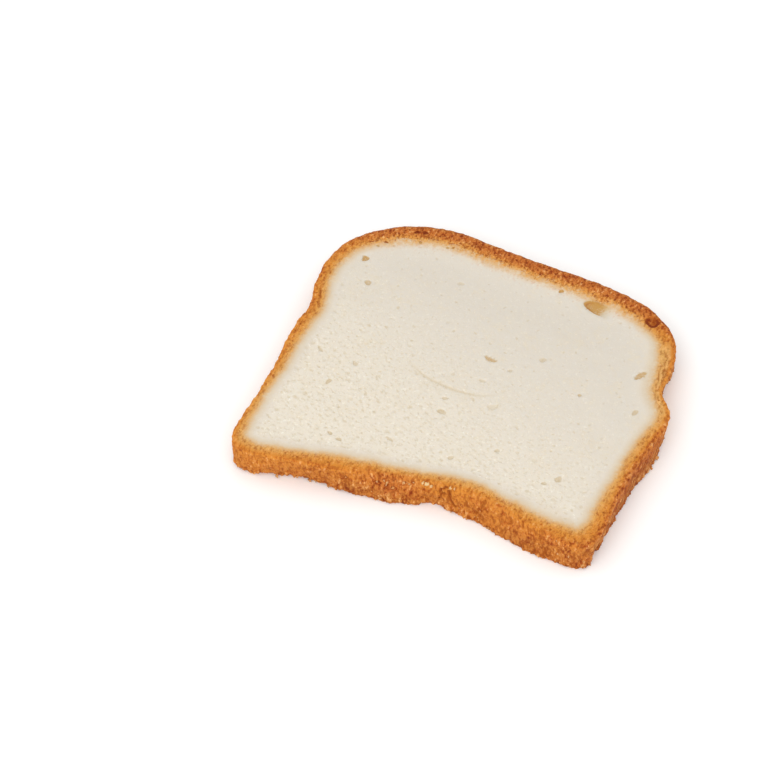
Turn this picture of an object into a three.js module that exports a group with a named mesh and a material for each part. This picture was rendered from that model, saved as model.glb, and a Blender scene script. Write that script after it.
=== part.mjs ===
import * as THREE from 'three';

// One slice of a white loaf baked in an open tin, lying flat on its back cut face.
// Millimetres. x runs across the slice, y from the flat-baked base to the domed top, z up
// through the thickness. The finished solid is centred in x and y, and rests on z = 0.

// Driving dimensions
const thickness = 10.5;        // cut face to cut face, at the crust
const sliceHeight = 105.3;     // base corners to the highest point of the dome
const baseLeft = -51.5;        // where the flat of the base meets the corners
const baseRight = 48;
const cornerRadius = 5.5;      // corners that the tin's floor and walls formed
const archRise = 8;            // the base sank in while the loaf cooled
const archCentre = 12;
const leftFold = 59.5;         // height of the folds where the dough rose clear of the tin
const rightFold = 62;
const edgeRound = 0.9;         // crust edge left by the knife
const flatRim = 2.4;           // crust around the cut face that stays level
const dishDepth = 0.9;         // hollow of the front cut face, which dried a little
const dishFloor = 0.35;        // share of that depth away from the valley
const dishRamp = 0.25;         // share of the way to the middle over which it deepens
const valleyHeight = 88;       // the hollow is deepest just under the top crust
const valleyWidth = 17;

// The knife ran a little aslant, so the lower edge of the crust stands out or in by a few
// millimetres: along the base { at x, spread, out }, and along the right wall { at y, spread, out }.
const baseLean = [
  { at: 14, spread: 22, out: 1.7 },
  { at: -37, spread: 9, out: -2.6 },
];
const wallLean = { at: 16, spread: 14, out: -1 };
const baseBelow = 14;          // height at which the lean of the base has died away

// How finely the solid is divided
const outlinePoints = 180;
const archSteps = 9;
const dishRings = [0.94, 0.86, 0.74, 0.58, 0.4, 0.2];
const arcMiddle = 1 - Math.SQRT1_2;   // how far half way round a quarter arc lies from its sides

const point = (x, y) => new THREE.Vector2(x, y);

// The base, left to right: flat near the corners and raised under the middle.
function baseArch() {
  const points = [];
  for (let step = 0; step <= archSteps; step += 1) {
    const x = THREE.MathUtils.lerp(baseLeft, baseRight, step / archSteps);
    const reach = x < archCentre ? archCentre - baseLeft : baseRight - archCentre;
    const phase = Math.PI * (x - archCentre) / reach;
    points.push(point(x, archRise * (1 + Math.cos(phase)) / 2));
  }
  return points;
}

// A rounded corner of the base, from under the slice up to the wall.
function baseCorner(x, side) {
  return [
    point(x + side * cornerRadius * (1 - arcMiddle), cornerRadius * arcMiddle),
    point(x + side * cornerRadius, cornerRadius),
  ];
}

// The crust against the tin's right wall, from the base corner up to the fold.
function rightWall() {
  return [
    ...baseCorner(baseRight, 1),
    point(54, 20),
    point(54.8, 32),
    point(56.4, 43),
    point(58, 51),
    point(57.7, rightFold - 5.5),
    point(55.6, rightFold - 1.8),
  ];
}

// The free crust over the tin, right to left, with its highest stretch left of the middle.
function dome() {
  return [
    point(53.4, rightFold + 1.5),
    point(53, rightFold + 8),
    point(52.2, 78),
    point(49.4, 85.5),
    point(44, 91.3),
    point(36, 95.7),
    point(22, sliceHeight - 6),
    point(5, sliceHeight - 4),
    point(-12, sliceHeight - 1.7),
    point(-26, sliceHeight),
    point(-38.5, sliceHeight - 1.9),
    point(-48, 98),
    point(-55, 90.6),
    point(-58.3, 80),
    point(-57.7, leftFold + 11),
    point(-56.3, leftFold + 4),
  ];
}

// The crust against the tin's left wall, from the fold down to the base corner.
function leftWall() {
  return [
    point(-55.7, leftFold),
    point(-56.4, leftFold - 3),
    point(-56.7, 50),
    point(-56.3, 34),
    point(-56.8, 18),
    ...baseCorner(baseLeft, -1).reverse(),
  ];
}

// Evenly spaced points around the whole outline, anticlockwise seen from above.
function sliceOutline() {
  const corners = [...baseArch(), ...rightWall(), ...dome(), ...leftWall()];
  const knots = corners.map((p) => new THREE.Vector3(p.x, p.y, 0));
  const curve = new THREE.CatmullRomCurve3(knots, true, 'centripetal');
  const spaced = curve.getSpacedPoints(outlinePoints);
  spaced.pop();
  return spaced.map((p) => point(p.x, p.y));
}

// A rise and fall around one place, 1 at the place itself.
function swell(where, { at, spread, out }) {
  const away = (where - at) / spread;
  return out * Math.exp(-away * away);
}

// How far the crust stands out at a place of the outline and a height of the wall.
function lean(p, height) {
  const onBase = 1 - THREE.MathUtils.smoothstep(p.y, 0, baseBelow);
  const base = baseLean.reduce((sum, part) => sum + swell(p.x, part), 0);
  const wall = p.x > baseRight ? swell(p.y, wallLean) : 0;
  return (onBase * base + (1 - onBase) * wall) * (1 - height / thickness);
}

// The outline drawn in by a distance that may differ from place to place, square to itself.
function inset(outline, distanceAt) {
  const count = outline.length;
  return outline.map((here, i) => {
    const before = outline[(i + count - 1) % count];
    const after = outline[(i + 1) % count];
    const along = after.clone().sub(before).normalize();
    const distance = distanceAt(here);
    return point(here.x - along.y * distance, here.y + along.x * distance);
  });
}

// The outline shrunk towards a point of the cut face.
function shrunk(outline, centre, scale) {
  return outline.map((here) => here.clone().sub(centre).multiplyScalar(scale).add(centre));
}

// How far the front cut face lies under its rim, from 0 at the crust to its full depth.
function dish(x, y, scale) {
  const across = (y - valleyHeight) / valleyWidth;
  const valley = Math.exp(-across * across);
  const fromCrust = THREE.MathUtils.smoothstep(1 - scale, 0, dishRamp);
  return dishDepth * fromCrust * THREE.MathUtils.lerp(dishFloor, 1, valley);
}

// The slice as one closed skin: a flat underside, the crust wall and the dished front face.
function sliceGeometry() {
  const outline = sliceOutline();
  const count = outline.length;
  const centre = point(0, sliceHeight / 2);
  const positions = [];
  const faces = [];

  const addRing = (points, heightAt) => {
    const first = positions.length / 3;
    points.forEach((p) => positions.push(p.x, p.y, heightAt(p)));
    return first;
  };
  const joinRings = (lower, upper) => {
    for (let i = 0; i < count; i += 1) {
      const next = (i + 1) % count;
      faces.push(lower + i, lower + next, upper + next);
      faces.push(lower + i, upper + next, upper + i);
    }
  };

  const underside = inset(outline, (p) => edgeRound - lean(p, 0));
  let ring = addRing(underside, () => 0);
  THREE.ShapeUtils.triangulateShape(underside, []).forEach(([a, b, c]) => {
    faces.push(ring + a, ring + c, ring + b);
  });

  // The crust wall, with both of its edges rounded.
  const wall = [
    { drawnIn: arcMiddle * edgeRound, height: arcMiddle * edgeRound },
    { drawnIn: 0, height: edgeRound },
    { drawnIn: 0, height: thickness - edgeRound },
    { drawnIn: arcMiddle * edgeRound, height: thickness - arcMiddle * edgeRound },
    { drawnIn: edgeRound, height: thickness },
    { drawnIn: flatRim, height: thickness },
  ];
  wall.forEach(({ drawnIn, height }) => {
    const next = addRing(inset(outline, (p) => drawnIn - lean(p, height)), () => height);
    joinRings(ring, next);
    ring = next;
  });

  // The front cut face, ring by ring to its middle.
  dishRings.forEach((scale) => {
    const points = shrunk(outline, centre, scale);
    const next = addRing(points, (p) => thickness - dish(p.x, p.y, scale));
    joinRings(ring, next);
    ring = next;
  });
  const middle = positions.length / 3;
  positions.push(centre.x, centre.y, thickness - dish(centre.x, centre.y, 0));
  for (let i = 0; i < count; i += 1) {
    faces.push(ring + i, ring + ((i + 1) % count), middle);
  }

  const geometry = new THREE.BufferGeometry();
  geometry.setAttribute('position', new THREE.Float32BufferAttribute(positions, 3));
  geometry.setIndex(faces);
  geometry.computeBoundingBox();
  const box = geometry.boundingBox;
  geometry.translate(-(box.min.x + box.max.x) / 2, -(box.min.y + box.max.y) / 2, 0);
  geometry.computeVertexNormals();
  return geometry;
}

const bakedBread = new THREE.MeshStandardMaterial({
  color: 0xe6decd,
  roughness: 0.9,
  metalness: 0,
});

const breadSlice = new THREE.Mesh(sliceGeometry(), bakedBread);
breadSlice.name = 'bread_slice';

const slice = new THREE.Group();
slice.name = 'tin_loaf_slice';
slice.add(breadSlice);

export default slice;
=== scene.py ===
import random
from math import atan2, copysign, cos, exp, hypot, pi, radians, sin, tau
from types import SimpleNamespace

import bpy
import numpy as np
from mathutils import Matrix, Vector, noise
from mathutils.geometry import delaunay_2d_cdt


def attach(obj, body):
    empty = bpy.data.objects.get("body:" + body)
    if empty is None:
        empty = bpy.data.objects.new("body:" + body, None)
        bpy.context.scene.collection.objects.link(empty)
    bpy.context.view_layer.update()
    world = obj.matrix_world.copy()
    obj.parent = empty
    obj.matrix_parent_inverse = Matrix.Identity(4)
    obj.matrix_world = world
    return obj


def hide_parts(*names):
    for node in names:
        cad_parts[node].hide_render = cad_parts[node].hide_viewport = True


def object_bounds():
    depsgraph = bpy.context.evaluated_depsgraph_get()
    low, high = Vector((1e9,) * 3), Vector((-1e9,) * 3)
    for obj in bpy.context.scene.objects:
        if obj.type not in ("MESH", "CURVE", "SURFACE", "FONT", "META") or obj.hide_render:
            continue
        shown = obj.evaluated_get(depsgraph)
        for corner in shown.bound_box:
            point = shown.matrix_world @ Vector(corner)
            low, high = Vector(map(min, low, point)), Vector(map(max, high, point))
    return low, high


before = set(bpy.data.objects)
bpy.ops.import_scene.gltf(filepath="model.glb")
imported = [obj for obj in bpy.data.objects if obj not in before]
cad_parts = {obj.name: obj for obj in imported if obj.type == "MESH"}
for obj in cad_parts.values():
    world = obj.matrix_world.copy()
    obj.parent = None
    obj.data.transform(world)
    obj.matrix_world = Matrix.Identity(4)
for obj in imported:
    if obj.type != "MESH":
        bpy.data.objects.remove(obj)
cadLow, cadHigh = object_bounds()
mm = 0.001

# Shapes are worked out in millimetres along the frame's own axes, and scaled when the mesh is made.
thickness = cadHigh.z / mm
halfWidth = cadHigh.x / mm
halfHeight = cadHigh.y / mm
farOff = 99.0        # further than any two points of the slice that are compared

crustOutline = {
    "spacing": 0.4,
    "wobble": ((12.0, 0.30), (4.5, 0.17)),   # wavelength, height
    "leanSmoothing": 6,                      # passes
}

cutFace = {
    "innerSpacing": 0.82,     # between the points that carry the crumb's surface
    "rimSpacing": 0.55,       # the same in the crust, which is rougher
    "rimZone": 6.5,
    "valleyDepth": 1.25,      # hollow that follows the top crust
    "valleyFromCrust": 13.5,
    "valleyOuter": 6.0,
    "valleyInner": 14.0,
    "topSpan": (6.0, 58.0, 122.0, 170.0),      # degrees around the slice: rising, then falling
    "sag": 0.22,              # the whole crumb lies a little under the crust
    "sagOver": (2.0, 12.0),
    "swell": ((17.0, 0.20), (5.5, 0.08), (1.9, 0.025)),
    "curl": 0.45,             # the top crust lifts at the cut
    "curlWidth": 2.5,
    "rimGrain": ((1.5, 0.11), (0.85, 0.11)),
    "margin": 0.45,           # bare strip inside the boundary ring
    "seed": 21,
}

backFace = {
    "innerSpacing": 1.35,
    "rimSpacing": 0.95,
    "rimZone": 4.5,
    "poreCount": 420,
    "poreTries": 2500,
    "poreLength": (0.7, 1.9),
    "poreSlimness": (0.5, 0.9),
    "poreDepth": 0.3,         # share of the length
    "backPoreShade": (0.2, 0.5),
    "poreGap": 0.3,
    "clearOfCrust": 7.0,
    "swell": ((16.0, 0.12), (5.0, 0.06)),
    "margin": 0.7,
    "seed": 22,
}

crustWall = {
    "rows": 30,
    "upperRound": 0.8,
    "upperUneven": 0.35,
    "lowerUneven": 0.3,
    "baseSpan": (216, 226, 316, 326),
    "topBake": (0.6, 0.95),   # browner crust than this counts as the free top
    # painted shade: each millimetre down the wall counts deeper in the crust, so the wall darkens towards the
    # floor
    "deeper": 0.45,           # how much deeper in the crust each millimetre down the wall counts
    "rimFade": (-2.2, -0.2),  # height from the cut over which the wall's colour turns into the rim's
    "rimStart": (-0.4, 1.3),  # distance from the edge over which the same happens on the cut face
    "baseGrain": ((1.8, 0.20), (0.9, 0.19)),      # size, height
    "sideGrain": ((2.3, 0.14), (1.0, 0.13)),
    "topGrain": ((3.2, 0.07), (1.1, 0.08)),
    "lumps": ((6.0, 0.22), (2.4, 0.13)),
    "calmTop": 0.6,           # the free crust on top is smoother
    "ragged": ((3.4, 0.40), (1.2, 0.55)),         # at the lower edge only
    "raggedBelow": 3.2,
    "upright": 0.55,          # grains are longer through the thickness
    "pitSize": 1.5,           # spacing of the places where a small hollow could be
    "pitDepth": 0.45,
    "pitRadius": 0.42,        # share of that spacing
    "pitScarcity": 0.1,       # a higher value leaves out more of them
}

# Around the slice, by the angle from its middle: how dark the crust baked at the cut and down the wall,
# how far it reaches into the cut face and how slowly it pales there, how round its lower edge is worn,
# and how far its upper and lower edges stand out from the imported model. On the right side, from
# about 320 to 350 degrees, the wall's darkness is partly painted shade.
aroundSlice = {
    "angle": (0, 8, 14, 22, 30, 38, 48, 60, 90, 100, 112, 122, 131, 141, 150, 160, 171, 180, 190, 200, 210,
              220, 230, 240, 250, 260, 270, 276, 282, 291, 300, 310, 320, 330, 340, 350),
    "rimBake": (.10, -.12, -.20, -.22, .02, .62) + (1.0,) * 6 + (.92, .70, .42, .26, .22, .24, .22)
               + (.20, .14, .14, .10, .26, .28, .18, .22, .22, .20, .18, .28, .36, .32, .18, .18, .15),
    "wallBakeAndShade": (.7, .4, .3, .4, .7, .9) + (1.0,) * 7 + (.9, .7, .55, .45) + (.4,) * 4
                + (.45, .34, .42, .6, .85, .60, .45, .38, .45, .48, .55, .70, 1.0, 1.0, .9),
    "reach": (3.5, 2.8, 2.9, 4.1, 4.7, 5.7, 5.7, 5.8, 5.9, 5.9, 5.9, 6.1, 5.9, 5.1, 4.3, 3.8, 4.1, 4.2, 3.5,
              2.9, 2.1, 2.9, 3.5, 4.6, 3.7, 2.6, 2.5, 2.9, 3.5, 3.4, 3.1, 4.3, 4.6, 3.7, 3.6, 3.7),
    "fade": (1.2, 1.5, 1.6, 1.5, 1.2, 1.0) + (.9,) * 25 + (1.0,) * 5,
    "worn": (1.0,) * 4 + (.9,) * 10 + (1.0, 1.0, 1.2, 1.2, 1.3, 1.4, 1.6, 1.8, 1.8, 1.8, 1.5, 1.2, 1.0)
            + (.9,) * 5 + (1.1, 1.0, 1.0, 1.0),
    "out": (.2, .0, -.15, .15, .45, .6, .55, .55, .45, .55, .55, .55, .4, .1, .0, -.1, .05, .1, -.1,
            -.4, -.4, -.3, -.1, .2, .2) + (.25,) * 11,
    "foot": (-1.5, -1.3, -1.7, -2.5) + (0,) * 17
            + (.1, -.5, -1.1, .6, 1.4, .5, .0, 1.3, 1.6, 1.2, .0, -1.1, .0, -.4, .15),
}

# Corners of the crumb that the crust rounds off: angle, spread, how much further the crust reaches.
innerCorners = ((315.2, 2.4, 1.2), (223.0, 2.4, 0.6))


def smooth(value, low, high):
    t = np.clip((value - low) / (high - low), 0.0, 1.0)
    return t * t * (3.0 - 2.0 * t)


def spanned(value, risesAt, risenAt, fallsAt, fallenAt):
    return smooth(value, risesAt, risenAt) * (1.0 - smooth(value, fallsAt, fallenAt))


def anglesOf(points):
    return np.arctan2(points[:, 1], points[:, 0])


def turnsOf(angles):
    return np.degrees(angles) % 360.0


def around(name, angles):
    return np.interp(turnsOf(angles), aroundSlice["angle"], aroundSlice[name], period=360.0)


def reachAround(angles):
    turns = turnsOf(angles)
    corners = sum(more * np.exp(-np.abs(turns - angle) / spread) for angle, spread, more in innerCorners)
    return around("reach", angles) + corners


# The seed gives each use its own part of the noise.
def waves(x, y, z, table, seed):
    total = 0.0
    for k, (wavelength, height) in enumerate(table):
        where = Vector((x, y, z)) * (2.0 / wavelength) + Vector((seed, 7.3 * k, 3.1 * seed))
        total += height * noise.noise(where)
    return total


# Rounded grains with narrow clefts between them.
def grains(x, y, z, table, seed):
    total = 0.0
    for k, (size, height) in enumerate(table):
        near = noise.voronoi(Vector((x, y, z)) / size + Vector((seed, 5.7 * k, 2.3 * seed)))[0]
        total += height * (near[1] - near[0] - 0.35) * 2.0
    return total


# Small hollows in about a third of the places where one could be.
def hollows(x, y, z, seed):
    near, centres = noise.voronoi(Vector((x, y, z)) / crustWall["pitSize"] + Vector((seed, seed, seed)))
    if noise.noise(centres[0] * 2.1) < crustWall["pitScarcity"]:
        return 0.0
    return crustWall["pitDepth"] * max(0.0, 1.0 - near[0] / crustWall["pitRadius"]) ** 1.5


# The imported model's two full rings, joined by the tall edges of its wall, in order around the slice.
def readRings():
    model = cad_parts["bread_slice"].data
    places = [tuple(round(c / mm, 3) for c in vertex.co) for vertex in model.vertices]
    upper, lower = set(), set()
    for edge in model.edges:
        a, b = sorted((places[k] for k in edge.vertices), key=lambda p: p[2])
        if b[2] - a[2] > thickness / 2:
            lower.add(a[:2])
            upper.add(b[:2])
    return [np.array(sorted(ring, key=lambda p: atan2(p[1], p[0]))) for ring in (upper, lower)]


def lengthsAlong(points):
    return np.concatenate([[0], np.cumsum(np.hypot(*np.diff(points, axis=0).T))])


def pointsAt(at, lengths, points):
    return np.stack([np.interp(at, lengths, points[:, k]) for k in (0, 1)], axis=1)


# A closed smooth curve through the ring, in steps of one length.
def refine(ring, spacing):
    count = len(ring)
    parts = 12
    fine = []
    for i in range(count):
        a, b, c, d = (ring[(i + k) % count] for k in (-1, 0, 1, 2))
        for j in range(parts):
            t = j / parts
            fine.append(0.5 * (2 * b + (c - a) * t + (2 * a - 5 * b + 4 * c - d) * t * t
                               + (3 * b - a - 3 * c + d) * t ** 3))
    fine = np.array(fine + fine[:1])
    lengths = lengthsAlong(fine)
    steps = int(round(lengths[-1] / spacing))
    return pointsAt(np.arange(steps) * lengths[-1] / steps, lengths, fine)


def outward(ring):
    along = np.roll(ring, -1, axis=0) - np.roll(ring, 1, axis=0)
    along /= np.linalg.norm(along, axis=1)[:, None]
    return np.stack([along[:, 1], -along[:, 0]], axis=1)


def cross(a, b):
    return a[..., 0] * b[..., 1] - a[..., 1] * b[..., 0]


# How far another ring lies outside each point, along the point's own normal.
def gapTo(points, directions, ring):
    ends = np.roll(ring, -1, axis=0)
    result = []
    for point, direction in zip(points, directions):
        start, along = ring - point, ends - ring
        slant = cross(along, direction)
        slant[np.abs(slant) < 1e-9] = 1e-9
        t = -cross(start, direction) / slant
        gaps = ((start + t[:, None] * along) * direction).sum(1)
        gaps[(t < 0) | (t >= 1)] = farOff
        result.append(gaps[np.abs(gaps).argmin()])
    return np.array(result)


def makeOutline():
    upperRing, lowerRing = readRings()
    upper = refine(upperRing, crustOutline["spacing"])
    directions = outward(upper)
    lean = gapTo(upper, directions, lowerRing)
    wobble = [waves(x, y, 0, crustOutline["wobble"], 4.0) for x, y in upper]
    upper += directions * (wobble + around("out", anglesOf(upper)))[:, None]
    for _ in range(crustOutline["leanSmoothing"]):
        lean = (np.roll(lean, 1) + 2 * lean + np.roll(lean, -1)) / 4
    angles = anglesOf(upper)
    return upper, outward(upper), angles, lean + around("foot", angles)


outline, normals, outlineAngles, lean = makeOutline()
coarseOutline = outline[::5]      # enough to keep pores clear of the crust
print("outline", len(outline), "points")


# The distance from each point to the nearest place of a ring.
def fromRing(points, ring):
    edges = np.roll(ring, -1, axis=0) - ring
    squared = (edges ** 2).sum(1)
    result = []
    for block in np.array_split(points, 1 + len(points) // 2000):      # keeps the arrays small
        away = block[:, None, :] - ring[None]
        t = np.clip((away * edges).sum(2) / squared, 0, 1)
        gap = away - t[..., None] * edges
        result.append(np.sqrt((gap ** 2).sum(2).min(1)))
    return np.concatenate(result)


def inside(points, ring):
    x, y = points[:, 0], points[:, 1]
    found = np.zeros(len(points), bool)
    for (ax, ay), (bx, by) in zip(ring, np.roll(ring, -1, axis=0)):
        if ay != by:
            found ^= ((ay > y) != (by > y)) & (x < (bx - ax) * (y - ay) / (by - ay) + ax)
    return found


# Holes that stand out: x, y, length, width, turn in degrees, depth, how brown inside. That brown is
# painted shade in the hollow.
namedHoles = (
    (-47.4, 32.9, 2.9, 2.2, 30, .7, .8),
    (-42.9, 23.6, 2.6, 2.2, -10, .6, .6),
    (45.2, 15.0, 4.6, 2.3, 62, .6, .72),
    (16.8, 11.1, 2.5, 1.9, 20, .35, .42),
    (2.5, 6.2, 4.6, 1.7, -8, .5, .68),
    (9.4, 3.6, 1.6, 1.1, 0, .3, .4),
    (3.2, -3.0, 2.2, 1.3, 0, .3, .3),
    (31.4, 1.6, 1.4, 1.2, 0, .35, .55),
    (48.4, .7, 2.6, 1.8, 60, .35, .5),
    (-4.5, -13.4, 1.9, 1.3, 0, .35, .42),
    (-3.7, -18.4, 3.1, 2.0, -15, .4, .45),
    (9.6, -11.7, 3.4, 2.2, 10, .3, .25),
    (-38.4, -18.7, 2.4, 1.6, 70, .4, .5),
    (-33.9, -9.3, 2.2, 1.6, -40, .35, .42),
    (-45.5, -7.4, 2.6, 1.3, -35, .35, .42),
    (36.0, -31.2, 2.6, 2.0, 80, .45, .5),
    (32.9, -34.0, 1.7, 1.3, 0, .4, .45),
    (5.1, -34.3, 2.0, 1.6, 60, .45, .42),
    (16.4, -27.1, 1.8, 1.3, 0, .35, .42),
    (-30.5, -37.4, 1.9, 1.2, -30, .45, .5),
    (-27.1, -38.7, 2.0, 1.3, 10, .45, .5),
    (-13.4, -33.7, 3.0, 1.1, -25, .4, .42),
    (12.6, 40.3, 1.8, 1.4, 30, .4, .9),
    (-16.9, 33.6, 2.4, 1.7, 0, .2, .3),
    (-34.1, 45.1, 1.4, 1.1, 0, .3, .8),
    (-25.6, 45.8, 1.1, .9, 0, .25, .8),
    (-24.0, 46.3, 1.1, .9, 30, .25, .8),
    (-45.6, 39.0, 1.2, .9, 0, .3, .7),
    (-43.9, 41.3, 1.4, 1.0, 20, .3, .8),
    (-36.5, 48.6, 1.9, 1.3, 20, .5, 1.3),
    (-34.0, 49.2, 2.2, 1.3, -10, .5, 1.3),
)

bigHole = {"x": 25.7, "y": 37.3, "length": 11.8, "width": 4.6, "turn": -13.0, "depth": 1.4, "brown": 0.95,
           "rings": (1.0, 0.92, 0.8, 0.62, 0.42, 0.2), "sides": 34, "wobble": 0.05, "steep": 1.6, "fade": 1.0}
blister = {"x": 42.0, "y": 37.1, "length": 4.6, "width": 4.8, "turn": -20.0, "depth": 0.8, "brown": 1.9,
           "rings": (1.0, 0.84, 0.66, 0.46, 0.24), "sides": 24, "wobble": 0.14, "scorchedFrom": 100.0}

pores = {
    "seed": 12,
    "holeDepth": 0.75,                # share of the depth listed for the named holes
    "holeShape": {"rings": (1.0, 0.8, 0.45), "sides": 12, "wobble": 0.2},
    "bigHoleGap": 0.2,
    "holeGap": 0.15,
    "crumbCount": 900,
    "crumbTries": 14000,
    "crumbGap": 0.16,
    "crumbLength": (0.75, 2.2),
    "crumbDepth": (0.04, 0.09),       # share of the length
    "crumbSlimness": (0.42, 0.78),
    "crumbTurn": -28.0,
    "turnSpread": 22,
    "turnedAlike": 0.35,              # in crumb more open than this
    "crumbRounded": 0.85,             # longer ones have more points
    "crumbPoreShade": (0.08, 0.36),
    "clearOfCrust": 3.0,
    "inCloseCrumb": 0.13,             # share of the pores that close crumb keeps
    "openSlope": 0.45,                # the line between open and close crumb, and how wide it is
    "openShift": 7.0,
    "openBlend": 12.0,
    "crustCount": 260,
    "crustTries": 12000,
    "crustGap": 0.1,
    "crustLength": (0.5, 1.2),
    "crustDepth": (0.15, 0.28),
    "crustBrown": (0.3, 0.75),
    "crustSlimness": (0.55, 0.95),
    "crustRounded": 0.75,
    "fromEdge": 1.1,
    "underTop": 1.5,                  # how far in, as a share of the crust's reach
    "underSides": 0.7,
}

# Shallow cracks: points along them, depth, half width, how brown the groove is painted, and the lip on
# their upper side. That brown is painted shade in the crumb's long crack and browner crust in the
# crust's hairlines.
cracks = (
    (((-19.3, -3.1), (-15.2, -5.9), (-10.2, -7.9), (-3.0, -9.3), (3.6, -9.0), (9.0, -6.9)),
     .16, .45, .45, .10),
    (((49.9, 18.6), (50.4, 16.6), (50.9, 14.6)), .25, .24, .6, .05),
    (((52.0, 19.2), (52.2, 16.0), (51.9, 12.6)), .3, .24, .6, .05),
    (((51.2, 20.8), (51.1, 18.6), (51.6, 16.6)), .2, .22, .45, .05),
    (((-55.2, 16.4), (-54.2, 13.9), (-53.2, 11.0)), .3, .28, .7, .05),
    (((-55.7, 25.2), (-55.2, 24.0), (-54.6, 22.6)), .25, .3, .7, .0),
    (((-54.2, 8.6), (-53.6, 7.4), (-52.9, 6.3)), .25, .28, .5, .0),
)

# Clefts down the side crusts: x, y of the place, half width, depth, and sideways drift over the height.
clefts = (
    (54.3, 10.4, .55, 1.0, .4),
    (53.4, 14.2, .40, .5, .8),
    (53.2, 17.8, .35, .4, .8),
    (-55.9, 7.2, .50, .8, .3),
    (-56.4, 12.0, .40, .45, .5),
)

# Furrows and scorched spots of the base crust: lines of x, z, half width, depth, how brown.
furrows = (
    (((6.2, 8.6), (8.0, 9.9)), .42, .60, .95),
    (((6.3, 8.7), (5.8, 7.2)), .42, .55, .95),
    (((7.4, 7.4), (6.2, 6.4), (5.4, 3.6)), .40, .60, .9),
    (((8.5, 8.7), (8.6, 7.2), (9.2, 5.6), (10.3, 3.2)), .44, .75, .85),
    (((19.4, 9.6), (18.7, 6.4), (17.6, 4.6), (17.0, 3.0)), .34, .45, .6),
    (((18.9, 6.0), (18.3, 3.2)), .34, .40, .6),
    (((20.0, 7.6), (20.8, 6.4), (20.2, 5.0)), .32, .35, .55),
    (((14.2, 5.7), (14.5, 5.1)), .95, .12, .65),
    (((36.6, 2.9), (36.6, 1.4)), .55, .35, .7),
    (((39.4, 4.4), (39.8, 2.2)), .55, .40, .7),
    (((37.9, 8.0), (38.0, 6.0)), .40, .25, .5),
    (((32.1, 10.2), (32.4, 8.6)), .40, .25, .6),
    (((28.0, 9.0), (28.3, 7.2)), .40, .25, .5),
    (((-12.2, 10.3), (-11.8, 9.9)), .40, .25, .7),
    (((-9.6, 5.7), (-9.1, 5.3)), .40, .25, .7),
    (((-21.2, 7.2), (-20.2, 5.0)), .55, .20, .4),
)

# Darker patches of the side crusts: x, y, z, size, how brown.
scorches = (
    (55.5, -15.8, 5.8, 2.6, .55),
    (54.4, -23.8, 5.2, 2.8, .55),
    (53.9, -29.5, 3.0, 2.2, .45),
    (56.6, -6.0, 6.5, 2.4, .35),
    (53.2, -40.5, 6.0, 1.8, .35),
)

# A bite out of the lower edge near the right corner: where it starts, how far it runs down the side,
# and its depth and height.
notch = {"start": -44.5, "length": 5.2, "depth": 1.75, "height": 6.0}


def pit(x, y, length, width, turn, depth, brown, rings=(1.0,), sides=7, wobble=0.15, steep=2.0, fade=0.0,
        scorchedFrom=None):
    return SimpleNamespace(x=x, y=y, a=length / 2, b=width / 2, turn=radians(turn), depth=depth,
                           brown=brown, rings=rings, sides=sides, wobble=wobble, steep=steep, fade=fade,
                           scorchedFrom=scorchedFrom)


# Pits that keep a gap between them.
class PitField:
    def __init__(self):
        self.pits = []
        self.taken = np.zeros((0, 3))      # x, y and reach of each

    def place(self, one, gap):
        reach = max(one.a, one.b) * 1.08 + gap
        x, y, others = self.taken.T
        if (np.hypot(x - one.x, y - one.y) >= reach + others).all():
            self.taken = np.vstack([self.taken, (one.x, one.y, reach)])
            self.pits.append(one)


# The rings and sides that carry a pore.
def poreGrid(large):
    return ((1.0, 0.5), 8) if large else ((1.0,), 6)


def strew(rng, count):
    return np.array([(rng.uniform(-halfWidth, halfWidth), rng.uniform(-halfHeight, halfHeight))
                     for _ in range(count)])


def between(pair, share):
    return pair[0] + share * (pair[1] - pair[0])


# Open crumb low and to the left, close crumb under the dome.
def openness(x, y):
    return 1.0 / (1.0 + exp((y + pores["openSlope"] * x + pores["openShift"]) / pores["openBlend"]))


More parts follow.
